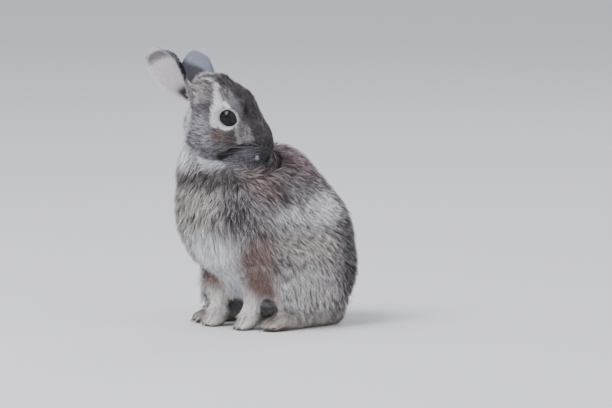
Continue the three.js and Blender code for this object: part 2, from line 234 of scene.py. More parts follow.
def speckle(points, size, seed):
    """A soft random value from 0 to 1 at each point, in lumps of about the given size."""
    cell = points / size
    corner = np.floor(cell).astype(np.int64)
    share = ease(0, 1, cell - corner)
    total = np.zeros(len(points))
    for step in np.ndindex(2, 2, 2):
        x, y, z = (corner + step).T
        mixed = x * 73856093 ^ y * 19349663 ^ z * 83492791 ^ seed * 26544357
        mixed = (mixed ^ (mixed >> 13)) * 1274126177
        value = ((mixed ^ (mixed >> 16)) & 0xFFFF) / 65535
        total += value * np.prod(np.where(step, share, 1 - share), axis=1)
    return total


# ---- skin of body, head and legs
# One hide covers head, body and legs. The flesh of the frame is joined, closed over its cuts,
# evened out, and drawn in by the depth of the coat, so that the tips end where the flesh did.
PARTS = ["head", "neck", "trunk", "tail", "foreleg", "forefoot", "thigh", "hindfoot"]
SAMPLES_PER_AREA = 0.35e6
CUT_OVERLAP, VOXEL = 0.0003, 0.0013
rng = np.random.default_rng(7)
bpy.ops.object.select_all(action="DESELECT")
samples, sample_part = [], []
for name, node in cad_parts.items():
    if name.startswith(("eye", "ear")):
        continue
    copy = into_scene("flesh_" + name, node.data.copy())
    copy.select_set(True)
    bpy.context.view_layer.objects.active = copy
    vertices = node.data.vertices
    corners = np.array([[vertices[i].co for i in face.vertices] for face in node.data.polygons])
    tally = np.maximum(1, (doubled_areas(corners) * SAMPLES_PER_AREA).astype(int))
    picked = np.repeat(np.arange(len(corners)), tally)
    share = rng.dirichlet((1, 1, 1), len(picked))
    samples.append((corners[picked] * share[..., None]).sum(axis=1) * 1000)
    sample_part.append(np.full(len(picked), PARTS.index(name.split("_")[0])))
bpy.ops.object.join()
flesh = bpy.context.object
bpy.ops.object.mode_set(mode="EDIT")
bpy.ops.mesh.select_all(action="SELECT")
bpy.ops.mesh.remove_doubles(threshold=1e-6)
bpy.ops.transform.shrink_fatten(value=CUT_OVERLAP)
bpy.ops.object.mode_set(mode="OBJECT")
closing = flesh.modifiers.new("closing", "REMESH")
closing.mode = "VOXEL"
closing.voxel_size = VOXEL
bpy.ops.object.modifier_apply(modifier="closing")


def read(items, field, width, kind=float):
    """One field of a mesh's items, a row for each item."""
    flat = np.empty(len(items) * width, dtype=kind)
    items.foreach_get(field, flat)
    return flat.reshape(-1, width)


def points_of(mesh):
    return read(mesh.vertices, "co", 3) * 1000


def normals_of(mesh):
    return read(mesh.vertex_normals, "vector", 3)


def place(mesh, points):
    mesh.vertices.foreach_set("co", (points * 0.001).ravel())
    mesh.update()


def nearest(points, cloud):
    """The index of the nearest point of a cloud to each point."""
    tree = KDTree(len(cloud))
    for index, point in enumerate(cloud):
        tree.insert(point, index)
    tree.balance()
    return np.array([tree.find(point)[1] for point in points])


def settle(values, edges, strength, rounds):
    """Draws each point's value towards the middle of its neighbours'."""
    first, second = edges.T
    size = len(values)
    count = np.bincount(edges.ravel(), minlength=size)[:, None]
    for _ in range(rounds):
        totals = [
            np.bincount(first, column[second], size) + np.bincount(second, column[first], size)
            for column in values.T
        ]
        values = values + strength[:, None] * (np.column_stack(totals) / count - values)
    return values


def by_name(part):
    """The share of each part of the body in each point, by the part's name."""
    return dict(zip(PARTS, part.T))


def gap_to_eye(head_points):
    """The distance to the nearer eye's axis, for points on the sides of the face."""
    gap = np.hypot(head_points[:, 1], head_points[:, 2])
    return gap + np.maximum(0, 12 - np.abs(head_points[:, 0])) * 3


BODY_COAT, CHEST_COAT = 6.5, 8.5
NOSE_COAT, LID_COAT = 0.9, 0.55
FACE_GAIN, NAPE_GAIN, JAW_GAIN = 1.2, 1.4, 2.6
LEG_COATS = {"foreleg": 2.6, "forefoot": 1.3, "hindfoot": 1.5}


def coat_depth(points, part):
    """How far the tips of the coat stand off the skin."""
    body, head = in_body(points), in_head(points)
    depth = BODY_COAT + (CHEST_COAT - BODY_COAT) * fade(-92, -70, body[:, 1])
    on_head = NOSE_COAT + FACE_GAIN * ease(-38, 0, head[:, 1]) + NAPE_GAIN * ease(8, 30, head[:, 1])
    on_head += JAW_GAIN * ease(-6, 14, head[:, 1]) * fade(-34, -8, head[:, 2])
    on_head = LID_COAT + (on_head - LID_COAT) * ease(9, 19, gap_to_eye(head))
    depth = lean(depth[:, None], on_head[:, None], part[:, 0])[:, 0]
    for name, short in LEG_COATS.items():
        depth = depth + (short - depth) * part[:, PARTS.index(name)]
    return depth


# Folds lie before the thigh, above the elbow and behind the shoulder: each is a start, an end,
# a width and a depth. The chest is drawn in between the forelegs as well.
FOLDS = [
    ((50, -46, 62), (56, -38, 24), 5, 1.6),
    ((30, -70, 66), (44, -56, 74), 5, 1.4),
    ((44, -36, 118), (50, -40, 84), 5, 1.8),
]
HOLLOW_AT, HOLLOW_RADII, HOLLOW_DEPTH = (-8, -102, 72), (44, 30, 26), 3.5
MOST_FLESH, SHARE_OF_FLESH = 40, 0.3
edges = read(flesh.data.edges, "vertices", 2, np.int64)
points = points_of(flesh.data)
evenly = np.full(len(points), 0.5)
label = np.concatenate(sample_part)[nearest(points, np.concatenate(samples))]
part = settle(np.eye(len(PARTS))[label], edges, evenly, rounds=5)
fine = part[:, [PARTS.index(name) for name in ("head", "forefoot", "hindfoot")]].sum(axis=1)
points = settle(points, edges, 0.5 * (1 - 0.85 * fine), rounds=32)
points = settle(points, edges, evenly, rounds=2)
place(flesh.data, points)
inwards = -normals_of(flesh.data)
flesh_faces = [tuple(face.vertices) for face in flesh.data.polygons]
walls = BVHTree.FromPolygons(points.tolist(), flesh_faces)
across_flesh = []
for point, way in zip(points, inwards):
    met = walls.ray_cast(Vector(point + way * 0.05), Vector(way), MOST_FLESH)
    across_flesh.append(met[3] or MOST_FLESH)
depth = np.minimum(coat_depth(points, part), SHARE_OF_FLESH * np.array(across_flesh))
spot = in_body(points)
for start, end, wide, deep in FOLDS:
    depth = depth + deep * near_stroke(both_sides(spot), start, end, wide, wide, soft=0.6)
depth = depth + HOLLOW_DEPTH * near_ball(spot - HOLLOW_AT, HOLLOW_RADII, soft=0.5)
depth = settle(depth[:, None], edges, evenly, rounds=6)
points = points + inwards * depth
points = settle(points, edges, 0.5 * (1 - 0.7 * fine), rounds=8)
place(flesh.data, points)

# ---- ears and lids of the skin
# Each ear is a leaf of skin rolled into a tube at its root and cupped towards its opening.
# The lids are two thick rims of skin that hug the eyeball and meet in its front corner.
EAR_LENGTH, EAR_HALF_WIDTH, EAR_WALL = 52.6, 17.2, 1.1
EAR_TIP_SHARE = 0.12
# The half width, as a share of the widest, and half the angle of the curl, from root to tip.
EAR_STEPS = np.minimum(np.arange(11) / 9.65, 1)
EAR_OUTLINE = [0.52, 0.68, 0.85, 0.95, 1, 1, 0.98, 0.93, 0.83, 0.65, 0.58]
EAR_CURL = [150, 136, 120, 108, 98, 90, 84, 76, 68, 60, 52]
# Each ear by its side: its root, the way up it and the way out of its opening, and how far it
# bends back, flattens and sways towards its tip.
EARS = {
    1: ((12.1, 35.13, 5.5), (0.89, 0.44, -0.09), (0.25, -0.6, -0.76), 0, 0, 0),
    -1: ((-12.42, 34.25, -2.89), (-0.36, 0.81, 0.47), (-0.89, -0.15, -0.43), 2, 0.4, -3.2),
}


def curl_at(share):
    """The angle of the curl at a share of the way up, with its steps smoothed."""
    fine = np.linspace(0, 1, 101)
    window = np.hanning(15)[1:-1]
    stepped = np.pad(np.interp(fine, EAR_STEPS, EAR_CURL), 6, mode="edge")
    return np.interp(share, fine, np.convolve(stepped, window / window.sum(), "valid"))


def ear_frame(shape):
    """The ways up an ear, out of its opening and across it."""
    up, out = np.array(shape[1:3], float)
    up /= np.linalg.norm(up)
    out -= up * (out @ up)
    out /= np.linalg.norm(out)
    return up, out, np.cross(up, out)


def belts(rows, ring):
    """The quads between rows of points that each go once round."""
    after = [(j + 1) % ring for j in range(ring)]
    return [
        (i * ring + j, i * ring + after[j], (i + 1) * ring + after[j], (i + 1) * ring + j)
        for i in range(rows - 1)
        for j in range(ring)
    ]


def ear_sheet(shape):
    """The closed leaf of an ear: points, quads, and each point's place on it."""
    rows, columns = 50, 23
    root, _, _, bend, flat, sway = shape
    up, out, side = ear_frame(shape)
    across_ear = np.linspace(-1, 1, columns)
    ring = 2 * columns
    grid_across = np.tile(np.concatenate([across_ear, across_ear[::-1]]), rows)
    grid_inner = np.tile(np.repeat([False, True], columns), rows)
    rising = np.repeat(1 - (1 - np.linspace(0, 1, rows)) ** 1.25, ring)
    tip = np.sqrt(np.clip((1 - rising) / EAR_TIP_SHARE, 0, 1))
    curl = np.radians(curl_at(rising)) * (1 - flat * rising**2)
    outline = np.interp(rising, EAR_STEPS, EAR_OUTLINE)
    radius = outline * EAR_HALF_WIDTH / curl
    radius *= np.where(rising > 1 - EAR_TIP_SHARE, np.maximum(tip, 0.06), 1)
    wall = EAR_WALL * (1 - 0.55 * grid_across**2)
    reach = radius + np.where(grid_inner, -0.5, 0.5) * wall
    spine = root + np.outer(rising, up) * EAR_LENGTH
    spine += np.outer(rising**3, side) * sway - np.outer(rising**2, out) * bend
    angle = grid_across * curl
    points = spine + np.outer(radius - reach * np.cos(angle), out)
    points += np.outer(reach * np.sin(angle), side)
    quads = belts(rows, ring)
    last = (rows - 1) * ring
    for j in range(columns - 1):
        quads.append((ring - 1 - j, ring - 2 - j, j + 1, j))
        quads.append((last + j, last + j + 1, last + ring - 2 - j, last + ring - 1 - j))
    return points, quads, np.column_stack([rising, grid_across, grid_inner])


EYE_SPREAD, EYE_RADIUS = 14.6, 7.6
# The opening between the lids, in degrees from the eye's axis, is wider in the front corner
# and narrower above and below. The first rings of a lid are bare.
LID_OPENING, LID_CORNER, LID_TOP, LID_FOOT = 60, 17, 3, 4
LID_SLANT, BARE_RINGS = 0.15, 2.5
# How far each ring of a lid lies from its edge, in degrees, and how far off the eyeball.
LID_PROFILE = [(0, -0.15), (0.7, 0.22), (2.8, 0.42), (5.5, 0.5)]
LID_PROFILE += [(10, 0.5), (17, 0.35), (26, 0), (38, -1.2)]


def lid_ring(side):
    """Both lids of one eye: rings that leave the eyeball, swell, and dive into the skin."""
    turns = np.linspace(0, 2 * pi, 48, endpoint=False)
    front, top = np.cos(turns), np.sin(turns)
    opening = LID_OPENING + LID_CORNER * np.maximum(front, 0) ** 9
    opening = opening - LID_TOP * np.maximum(top, 0) ** 2 - LID_FOOT * np.maximum(-top, 0) ** 2
    low = turns - LID_SLANT
    points = []
    for tilt, rise in LID_PROFILE:
        angle = np.radians(opening + tilt)
        radius = EYE_RADIUS + rise
        x = side * (EYE_SPREAD + radius * np.cos(angle))
        y = -np.sin(angle) * radius * np.cos(low)
        points.append(np.column_stack([x, y, radius * np.sin(angle) * np.sin(low)]))
    quads = [quad[::side] for quad in belts(len(LID_PROFILE), len(turns))]
    ring = np.repeat(np.arange(len(LID_PROFILE)), len(turns))
    return np.concatenate(points), quads, np.outer(ring, (1, 0, 0))


NOSE_AT = (0, -40.4, -11.8)
NOSE_RADII = (4.5, 2.7, 3.5)
CLEFT_DEPTH, SLIT_DEPTH = 0.7, 1.1


def nose_pad():
    """The bare pad of the nose: a mound parted down the middle, with a slit to each side."""
    rows, columns = 25, 41
    turn, height = np.meshgrid(np.linspace(-1.45, 1.45, columns), np.linspace(-1.4, 1.4, rows))
    turn, height = turn.ravel(), height.ravel()
    level = np.cos(height)
    pad = np.column_stack([np.sin(turn) * level, -np.cos(turn) * level, np.sin(height)])
    pad[:, 0] *= 1 - 0.3 * ease(0.1, -0.9, pad[:, 2])
    pad *= NOSE_RADII
    reach, up = np.abs(pad[:, 0]), pad[:, 2]
    cleft = np.exp(-((reach / 0.4) ** 2)) * fade(-0.8, 0.6, up)
    slit_height = -0.5 + 1.5 * np.clip((reach - 1.3) / 2.2, 0, 1) ** 1.5
    slit = np.exp(-(((up - slit_height) / 0.5) ** 2))
    slit = slit * ease(1, 1.6, reach) * fade(3.2, 3.9, reach)
    pad[:, 1] += np.maximum(CLEFT_DEPTH * cleft, SLIT_DEPTH * slit)
    grid = np.arange(rows * columns).reshape(rows, columns)
    quads = np.stack([grid[:-1, :-1], grid[:-1, 1:], grid[1:, 1:], grid[1:, :-1]], axis=-1)
    rim = np.concatenate([grid[0], grid[1:, -1], grid[-1, -2::-1], grid[-2:0:-1, 0]])
    faces = quads.reshape(-1, 4).tolist() + [rim[::-1].tolist()]
    return pad + NOSE_AT, faces, np.outer(np.maximum(cleft * 0.6, slit), (1, 0, 0))


# Each point of the skin keeps its kind and its place: on an ear the share of the way up and
# across and whether it is inside, on a lid the ring, on the nose the depth of a dent.
BODY, EAR, LID, NOSE = 0, 1, 2, 3
groups = [(points, flesh_faces, BODY, np.zeros((len(points), 3)))]
leaves = [(EAR, ear_sheet(shape)) for shape in EARS.values()]
leaves += [(LID, lid_ring(side)) for side in (1, -1)] + [(NOSE, nose_pad())]
for leaf_kind, (leaf, leaf_faces, leaf_place) in leaves:
    groups.append((from_head(leaf), leaf_faces, leaf_kind, leaf_place))


def joined(name, groups):
    """One mesh from groups that open with their points, in millimetres, and their faces."""
    vertices, faces = [], []
    for group_points, group_faces, *_ in groups:
        faces += [tuple(index + len(vertices) for index in face) for face in group_faces]
        vertices += (group_points * 0.001).tolist()
    mesh = bpy.data.meshes.new(name)
    mesh.from_pydata(vertices, [], faces)
    mesh.update()
    mesh.shade_smooth()
    return mesh


sheets, _, kinds, places = zip(*groups)
points = np.concatenate(sheets)
kind = np.repeat(kinds, [len(sheet) for sheet in sheets])
ear_place = np.concatenate(places)
added = np.tile(np.eye(len(PARTS))[PARTS.index("head")], (len(points) - len(part), 1))
part = np.concatenate([part, added])
skin_mesh = joined("skin", groups)
skin = into_scene("skin", skin_mesh)
bpy.data.objects.remove(flesh)
skin.select_set(True)
bpy.context.view_layer.objects.active = skin
bpy.ops.object.mode_set(mode="EDIT")
bpy.ops.mesh.select_all(action="SELECT")
bpy.ops.mesh.normals_make_consistent(inside=False)
bpy.ops.uv.smart_project(angle_limit=1.15, island_margin=0.001)
bpy.ops.object.mode_set(mode="OBJECT")
skin_mesh.uv_layers[0].name = "OFBake"

# ---- markings
# Grizzled grey and brown over slate, white below and round the eye, rufous on the legs, nape
# and under the eye. A look is the colour of the pale hairs, that of the dark hairs and the
# share of dark hairs.
GRIZZLED = (0.46, 0.43, 0.42, 0.055, 0.045, 0.045, 0.46)
HEAD_GREY = (0.39, 0.36, 0.375, 0.046, 0.041, 0.048, 0.53)
WHITE = (0.84, 0.85, 0.88, 0.5, 0.5, 0.53, 0.12)
THROAT = (0.97, 0.975, 1, 0.74, 0.74, 0.77, 0.07)
RUFOUS = (0.43, 0.3, 0.26, 0.15, 0.09, 0.078, 0.4)
PALE_GREY = (1, 0.985, 1, 0.08, 0.073, 0.085, 0.26)
BROWN = (0.25, 0.21, 0.2, 0.04, 0.034, 0.036, 0.62)
BUFF = (0.74, 0.66, 0.615, 0.1, 0.085, 0.078, 0.3)
CREAM = (0.97, 0.93, 0.89, 0.66, 0.59, 0.54, 0.14)
MANE = (0.6, 0.57, 0.53, 0.08, 0.065, 0.06, 0.38)
SHADED = (0.33, 0.29, 0.29, 0.04, 0.035, 0.04, 0.62)
EYE_PATCH = (0.93, 0.9, 0.9, 0.46, 0.43, 0.43, 0.12)
BRIDGE = (0.2, 0.175, 0.175, 0.03, 0.027, 0.03, 0.6)
RIDGE = (0.27, 0.222, 0.207, 0.045, 0.038, 0.038, 0.52)
SHADOW_UNDER_PAD = (0.08, 0.075, 0.085, 0.014, 0.014, 0.016, 0.72)
CHEEK = (0.46, 0.445, 0.465, 0.07, 0.067, 0.08, 0.48)
CHEEK_EDGE = (0.4, 0.39, 0.415, 0.065, 0.063, 0.07, 0.48)
MUZZLE_SHADE = (0.115, 0.11, 0.125, 0.025, 0.024, 0.028, 0.6)
HIND_FOOT = (0.72, 0.65, 0.58, 0.3, 0.25, 0.22, 0.25)
TOE_FURROW_SHADE = (0.36, 0.3, 0.27, 0.1, 0.08, 0.07, 0.5)
# The backs of the ears are grey fur with a blue cast painted on as the light of the sky.
EAR_BACK_WITH_SKY_LIGHT = (0.25, 0.265, 0.33, 0.1, 0.11, 0.14, 0.3)
EAR_DARK_SIDE = (0.07, 0.065, 0.075, 0.015, 0.014, 0.018, 0.65)
EAR_FOOT = (0.6, 0.555, 0.53, 0.14, 0.12, 0.12, 0.34)
EAR_WITHIN = (0.9, 0.83, 0.84, 0.62, 0.52, 0.53, 0.12)
EAR_BAND = (0.24, 0.21, 0.23, 0.1, 0.09, 0.1, 0.5)
EAR_CANAL_SHADE = (0.1, 0.09, 0.1, 0.04, 0.035, 0.04, 0.6)
EAR_RIM = (0.9, 0.87, 0.88, 0.7, 0.66, 0.66, 0.08)
LID_SKIN = (0.03, 0.022, 0.02, 0.015, 0.012, 0.01, 0.5)
MOUTH_SHADE = (0.035, 0.025, 0.025, 0.02, 0.015, 0.015, 0.5)
NOSE_SKIN = (0.2, 0.125, 0.12, 0.08, 0.05, 0.05, 0.3)
# The patches of the body are soft ellipsoids: a middle, three radii and a look.
MIDDLE_PATCHES = [
    ((-2, -100, 94), (34, 26, 26), MANE),
    ((10, -84, 121), (46, 26, 8), BROWN),
    ((-8, -88, 139), (32, 26, 11), THROAT),
    ((36, -86, 100), (13, 16, 14), SHADED),
    ((0, 40, 96), (30, 40, 40), (0.4, 0.37, 0.37, 0.05, 0.045, 0.047, 0.5)),
    ((0, 64, 62), (62, 30, 42), (0.35, 0.32, 0.315, 0.04, 0.036, 0.037, 0.6)),  # rump
    ((10, -92, 60), (29, 28, 19), WHITE),  # brisket
    ((0, -30, 26), (40, 60, 26), WHITE),  # belly
    # front of the right thigh
    ((-41, -49, 30), (13, 12, 26), (0.9, 0.89, 0.9, 0.34, 0.33, 0.34, 0.18)),
    ((0, -38, 150), (15, 16, 12), RUFOUS),  # nape
    ((0, -8, 134), (44, 44, 24), (0.37, 0.28, 0.278, 0.05, 0.033, 0.037, 0.53)),  # back
]
SIDE_PATCHES = [
    ((38, -50, 122), (18, 18, 20), (0.42, 0.33, 0.3, 0.07, 0.05, 0.05, 0.5)),  # shoulder
    ((46, -22, 84), (22, 30, 14), (0.7, 0.66, 0.65, 0.09, 0.08, 0.085, 0.36)),
    ((43, 2, 96), (15, 25, 14), PALE_GREY),  # flank
    ((48, -30, 93), (12, 20, 10), PALE_GREY),
    ((38, 18, 98), (12, 14, 13), (1, 0.985, 1, 0.1, 0.092, 0.105, 0.2)),
    # upper arm
    ((38, -62, 54), (14, 16, 22), (0.37, 0.265, 0.235, 0.1, 0.063, 0.055, 0.46)),
    # painted shade in the fold behind the shoulder
    ((43, -40, 108), (7, 7, 9), BROWN),  # fold behind the shoulder
    ((52, -18, 66), (14, 34, 13), BUFF),  # top of the thigh
    # foot of the thigh
    ((54, -22, 32), (14, 28, 20), (0.76, 0.73, 0.7, 0.11, 0.095, 0.095, 0.26)),
    # back of the rump, painted dark as shade where the rump turns from the light
    ((50, 34, 52), (20, 21, 44), (0.23, 0.21, 0.207, 0.027, 0.025, 0.026, 0.69)),
]
# The marks of the head are strokes: a start, an end, the half width at each, and a look.
HEAD_STROKES = [
    ((0, 30, 14), (0, 12, 19), 8, 8, (0.22, 0.185, 0.175, 0.03, 0.026, 0.026, 0.62)),
    ((3, 14, 19), (5, 2, 17), 6, 6, (0.16, 0.135, 0.13, 0.024, 0.02, 0.021, 0.66)),  # crown
    # Down the sides of the bridge: brown-grey fur, painted darker as shade where the side of the
    # snout turns from the light.
    ((4, 10, 18), (8, -10, 13.5), 3.5, 5.5, BRIDGE),
    ((8, -10, 13.5), (10, -25, 2), 6, 6, BRIDGE),
    ((10, -25, 2), (9, -37, -8), 6, 6, BRIDGE),
    ((0, -14, 13), (0, -38, -2), 4, 3.5, RIDGE),
    ((14, 36, 4), (19, 27, 1), 9, 5.5, (0.62, 0.57, 0.54, 0.14, 0.12, 0.12, 0.36)),
    # foot of the ear
    ((20.5, 35, 1), (18.8, 29, -3.5), 3.8, 3.6, (0.86, 0.83, 0.82, 0.3, 0.28, 0.28, 0.18)),
    ((7, 34, 10), (8, 27, 16), 2, 1.8, (0.78, 0.75, 0.73, 0.3, 0.28, 0.27, 0.2)),
    ((20, 23.5, -2), (20.5, 18.5, -1), 3.6, 3.2, (0.24, 0.22, 0.24, 0.04, 0.036, 0.04, 0.6)),
    ((24.5, 17, -19), (27.5, 3, -22), 8, 8, CHEEK),
    ((24.5, 18, -14), (27, 8, -20), 5.5, 5.5, (0.56, 0.535, 0.56, 0.08, 0.075, 0.09, 0.44)),
    ((11, 29, -16), (21.5, 20, -25.5), 2.6, 3, CHEEK_EDGE),
    ((21.5, 20, -25.5), (22, 11.5, -37), 3, 3.4, CHEEK_EDGE),
    ((22, 11.5, -37), (23.5, -1, -37), 3.4, 3.8, CHEEK_EDGE),
    ((23.5, -1, -37), (21, -12, -30), 4.2, 5, CHEEK_EDGE),
    ((13, 11, -47), (20.5, 4, -46.5), 5, 4.8, THROAT),
    ((20.5, 4, -46.5), (20, -15, -37), 4.8, 3.6, THROAT),
    ((6, 35, -14), (9, 32, -22), 5, 6, (0.78, 0.76, 0.78, 0.26, 0.25, 0.26, 0.2)),
    # behind the cheek
    ((9, 32, -22), (14, 26, -35), 6, 7, (0.82, 0.81, 0.83, 0.3, 0.29, 0.3, 0.18)),
    ((0, 42, 0), (0, 38, -36), 8, 8, (0.44, 0.36, 0.33, 0.075, 0.055, 0.05, 0.46)),  # nape
    # Painted shade: the end of the muzzle and the white chin are painted dark grey as the shade
    # under the head, with a paler spot where the white lip is lit.
    ((14, -34, -14), (6, -38, -9), 11, 9, MUZZLE_SHADE),
    ((16, -22, -20), (14, -33, -19.5), 4, 3.4, (0.2, 0.19, 0.22, 0.04, 0.04, 0.045, 0.5)),
    ((13, -37, -17.5), (13, -37.2, -15), 1.4, 1.2, (0.55, 0.54, 0.56, 0.3, 0.3, 0.3, 0.2)),
    # whisker pad
    ((15.5, -13, -1), (13, -21.5, -7), 5, 4.4, (0.55, 0.52, 0.515, 0.06, 0.053, 0.056, 0.46)),
    # Painted shadow along the lower edge of the cheek and under the whisker pad.
    ((21, -12, -29), (17, -17, -22), 4, 3.4, SHADOW_UNDER_PAD),
    ((17, -17, -22), (14.5, -21.5, -15.5), 3.4, 3, SHADOW_UNDER_PAD),
    ((14.5, -21.5, -15.5), (12, -30, -8.5), 3, 2.8, SHADOW_UNDER_PAD),
    # under the eye
    ((25.5, 0, -13.5), (22.5, -9, -14.5), 5.5, 6, (0.32, 0.245, 0.235, 0.075, 0.052, 0.05, 0.46)),
    ((21.8, -8.5, -9), (20.3, -13, -15), 3.6, 4.4, (0.27, 0.235, 0.23, 0.05, 0.043, 0.043, 0.5)),
    ((19.5, -9.8, -1.5), (16, -17.5, -12.5), 1.7, 2.1, (0.64, 0.6, 0.59, 0.18, 0.16, 0.155, 0.25)),
    # forehead
    ((13, 13, 15), (15, 2, 13), 4.2, 4, (0.47, 0.445, 0.465, 0.06, 0.055, 0.065, 0.46)),
    ((12.5, 14.5, 15), (14.5, 8.5, 12.8), 1.8, 1.8, SHADED),
    ((10.3, 22, 15.5), (16.5, 17.5, 10.3), 1.8, 2.6, EYE_PATCH),
    ((16.5, 17.5, 10.3), (19.5, 12, 4.5), 2.8, 3.6, EYE_PATCH),
    ((18.2, 9, 8.5), (19.2, 3, 8.5), 2.4, 1.6, EYE_PATCH),
    ((20.8, 12.8, 1), (23.5, 9, -5), 3.4, 3, EYE_PATCH),
    ((23.5, 8, -7.5), (25.2, 3, -9), 2.6, 1.5, EYE_PATCH),
]
MOUTH = ((0.5, -41, -20), (7.5, -33, -23.6), 0.9, 0.8, 0.4)
# How far aside each foot is, its furrows apart, and how far forward they start.
FURROWS = {"forefoot": (19, 3.87, -60), "hindfoot": (41, 4.8, -50)}


def between_toes(body, on):
    """One in the furrows between the toes, and nothing elsewhere."""
    furrow = np.zeros(len(body))
    for foot, (spread, apart, front) in FURROWS.items():
        off = (np.abs(body[:, 0]) - spread) / apart
        near = np.abs((off + 0.5) % 1 - 0.5) * apart
        in_front = (np.abs(off) < 1.4) * fade(front - 3, front + 4, body[:, 1])
        furrow += np.exp(-((near / 0.75) ** 2)) * in_front * on[foot]
    return furrow


def leg_markings(look, body, on):
    """Rufous down the front and outside of the forelegs, cream below and within."""
    look = lean(look, CREAM, on["foreleg"])
    outside = np.where(body[:, 0] > 0, ease(14, 25, body[:, 0]), fade(-15, -8, body[:, 0]))
    low = 22 - 8 * ease(22, 30, body[:, 0])
    # The rufous of the left foreleg is painted darker than the right, as shade on the leg further
    # from the light.
    left_leg_shade = 1 - 0.2 * ease(0, 20, body[:, :1]) * (1, 1, 1, 1, 1, 1, 0)
    look = lean(look, RUFOUS * left_leg_shade, on["foreleg"] * outside * ease(low, low + 18, body[:, 2]))
    look = lean(look, CREAM, on["forefoot"])
    look = lean(look, HIND_FOOT, on["hindfoot"])
    # Painted shade in the furrows between the toes.
    return lean(look, TOE_FURROW_SHADE, 0.75 * between_toes(body, on))


def ear_markings(look, head, kind, ear_place):
    """Pink within, with a pale rim, a dusky band and a canal painted dark as the shade in its
    hollow; grey behind, painted blue as lit by the sky.
    """
    share, across_ear, inner = ear_place.T
    on_ear = kind == EAR
    behind, within = on_ear & (inner < 0.5), on_ear & (inner >= 0.5)
    right = head[:, 0] < 0
    edge = np.clip(ease(0.84, 0.97, np.abs(across_ear)) + ease(0.94, 0.98, share), 0, 1)
    band = ease(0.74, 0.82, share) * fade(0.91, 0.95, share)
    band = band * (1 - 0.5 * ease(0.2, 0.8, across_ear))
    # Painted shade in the hollow of the canal at the ear's root.
    canal_shade = fade(0.12, 0.27, share) * fade(0.45, 0.85, np.abs(across_ear))
    right_dark = ease(0.2, 0.5, across_ear) * ease(0.3, 0.42, share)
    right_dark = right_dark * (1 - 0.75 * ease(0.6, 0.8, share))
    left_dark = ease(0, 0.35, across_ear - 1.2 * (share - 0.5))
    dark_side = np.where(right, right_dark, left_dark)
    foot = 1 - np.where(right, ease(0.26, 0.42, share), ease(0.08, 0.2, share))
    pale_edge = edge * np.where(right, 0.9 * np.maximum(inner, across_ear < 0), 0.25)
    for colours, amount in (
        (EAR_BACK_WITH_SKY_LIGHT, behind),
        (EAR_DARK_SIDE, behind * dark_side * 0.95),
        (EAR_FOOT, behind * foot),
        (EAR_WITHIN, within),
        (EAR_BAND, within * band * 0.85),
        (EAR_CANAL_SHADE, within * canal_shade),
        (EAR_RIM, on_ear * pale_edge),
    ):
        look = lean(look, colours, amount)
    return look


def markings(points, part, kind, ear_place):
    """The look of the coat at each point."""
    body, head = in_body(points), in_head(points)
    face = both_sides(head)
    on = by_name(part)
    fine_edge, coarse_edge = speckle(points, 7, 5) - 0.5, speckle(points, 19, 6) - 0.5
    ragged = (1 + 0.35 * fine_edge + 0.25 * coarse_edge)[:, None]
    look = np.tile(GRIZZLED, (len(points), 1))
    for spots, patches in ((body, MIDDLE_PATCHES), (both_sides(body), SIDE_PATCHES)):
        for middle, radii, colours in patches:
            look = lean(look, colours, near_ball((spots - middle) * ragged, radii, 0.5))
    look = leg_markings(look, body, on)
    look = lean(look, WHITE, on["tail"])
    look = lean(look, HEAD_GREY, on["head"])
    chin = near_ball((face - (0, 12, -48)) * ragged, (34, 27, 9), 0.25)
    look = lean(look, THROAT, chin * on["head"])
    rough = (np.column_stack([speckle(points, 3.5, seed) for seed in (31, 32, 33)]) - 0.5) * 2.2
    for *stroke, colours in HEAD_STROKES:
        look = lean(look, colours, near_stroke(face + rough, *stroke, soft=0.4) * on["head"])
    look = lean(look, EYE_PATCH, fade(8, 9.3, gap_to_eye(head)) * on["head"])
    look = ear_markings(look, head, kind, ear_place)
    look = lean(look, LID_SKIN, (kind == LID) & (ear_place[:, 0] < BARE_RINGS))
    # The mouth is a dark line painted as the shade in its slit.
    look = lean(look, MOUTH_SHADE, near_stroke(face, *MOUTH) * (kind == BODY))
    return lean(look, NOSE_SKIN, kind == NOSE)


def store_colour(mesh, colours):
    layer = mesh.color_attributes.new("coat", "FLOAT_COLOR", "POINT")
    layer.data.foreach_set("color", np.column_stack([colours, np.ones(len(colours))]).ravel())


look = markings(points, part, kind, ear_place)
# The skin is painted darker than its coat, as the shade among the tufts, the most under a deep coat
# of dark hairs.
shaded = 0.35 * ease(2, 5, coat_depth(points, part)) * ease(0.1, 0.32, look[:, 6])
shade_under_coat = np.where(kind == BODY, 0.85 - shaded, 0.95)
skin_colour = lean(look[:, :3], look[:, 3:6], look[:, 6]) * shade_under_coat[:, None]
# The nose pad is painted darker in its cleft and slits, as shade in those dents.
skin_colour[kind == NOSE] *= 1 - 0.8 * ear_place[kind == NOSE, :1]
store_colour(skin_mesh, skin_colour)

hide = Finish("skin", Roughness=0.75, Specular_IOR_Level=0.3)
tint = hide.node("Attribute", {"attribute_name": "coat"})
in_object = hide.node("TexCoord", output=3)
mottle = hide.node("TexNoise", Vector=in_object, Scale=900, Detail=3)
patchy = hide.node("ValToRGB", _0=mottle)
mottled = hide.node("MixRGB", {"blend_type": "MULTIPLY"}, _0=0.35, _1=tint, _2=patchy)
hide.feed("Base Color", mottled)
hide.feed("Normal", hide.node("Bump", Strength=0.4, Distance=0.0002, Height=mottle))
hide.on(skin)
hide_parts(*[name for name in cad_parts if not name.startswith("eye")])
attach(skin, "root")

